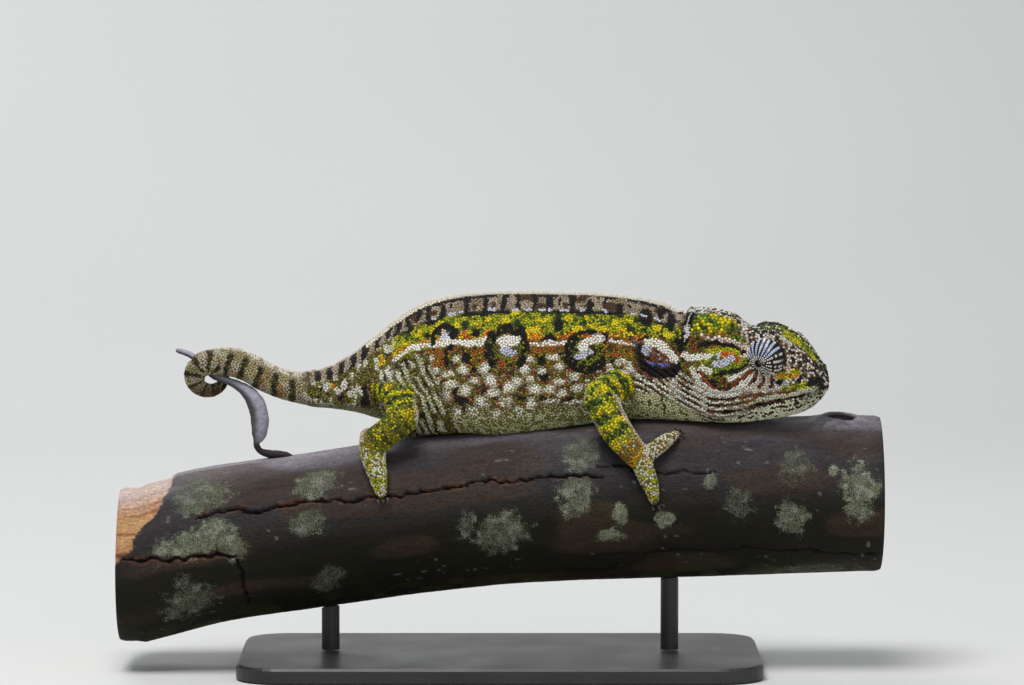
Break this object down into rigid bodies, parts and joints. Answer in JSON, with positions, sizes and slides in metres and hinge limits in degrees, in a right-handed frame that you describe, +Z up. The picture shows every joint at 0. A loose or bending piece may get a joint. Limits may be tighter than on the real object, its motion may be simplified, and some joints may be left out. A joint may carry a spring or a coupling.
{
  "type": "carpet chameleon",
  "caption": "Carpet chameleon lying along a cut length of branch, tail looped round a hooked twig, on a low display stand.",
  "frame": {"origin": "middle of the display stand's underside, below the middle of the branch", "axes": "+X the way the animal faces, along the branch; +Y its left; +Z up"},
  "size_m": [0.152, 0.056, 0.0753],
  "materials": {
    "skin": "dry granular scales, olive, black and whitish, yellow on the legs",
    "eye_skin": "finely scaled eyelid turret, pale blue and black stripes round the pupil",
    "claw": "horn, grey-brown, semi-gloss",
    "bark": "dark, dry bark with grey-green lichen, peeled to tan wood at one end",
    "twig": "weathered grey twig",
    "stand_paint": "satin black paint on steel"
  },
  "bodies": {
    "root": {"eye_left": "eye_skin", "eye_right": "eye_skin", "front_left_forearm": "skin", "front_left_inner_claw_1": "claw", "front_left_inner_claw_2": "claw", "front_left_inner_claw_3": "claw", "front_left_inner_toes": "skin", "front_left_outer_claw_1": "claw", "front_left_outer_claw_2": "claw", "front_left_outer_toes": "skin", "front_left_upper_arm": "skin", "front_right_forearm": "skin", "front_right_inner_claw_1": "claw", "front_right_inner_claw_2": "claw", "front_right_inner_claw_3": "claw", "front_right_inner_toes": "skin", "front_right_outer_claw_1": "claw", "front_right_outer_claw_2": "claw", "front_right_outer_toes": "skin", "front_right_upper_arm": "skin", "head": "skin", "hind_left_inner_claw_1": "claw", "hind_left_inner_claw_2": "claw", "hind_left_inner_toes": "skin", "hind_left_outer_claw_1": "claw", "hind_left_outer_claw_2": "claw", "hind_left_outer_claw_3": "claw", "hind_left_outer_toes": "skin", "hind_left_shin": "skin", "hind_left_thigh": "skin", "hind_right_inner_claw_1": "claw", "hind_right_inner_claw_2": "claw", "hind_right_inner_toes": "skin", "hind_right_outer_claw_1": "claw", "hind_right_outer_claw_2": "claw", "hind_right_outer_claw_3": "claw", "hind_right_outer_toes": "skin", "hind_right_shin": "skin", "hind_right_thigh": "skin", "neck": "skin", "perch_branch": "bark", "perch_twig": "twig", "stand_base": "stand_paint", "stand_rod_front": "stand_paint", "stand_rod_rear": "stand_paint", "tail_1": "skin", "tail_2": "skin", "tail_3": "skin", "tail_4": "skin", "tail_5": "skin", "tail_6": "skin", "tail_7": "skin", "trunk": "skin"}
  },
  "joints": []
}
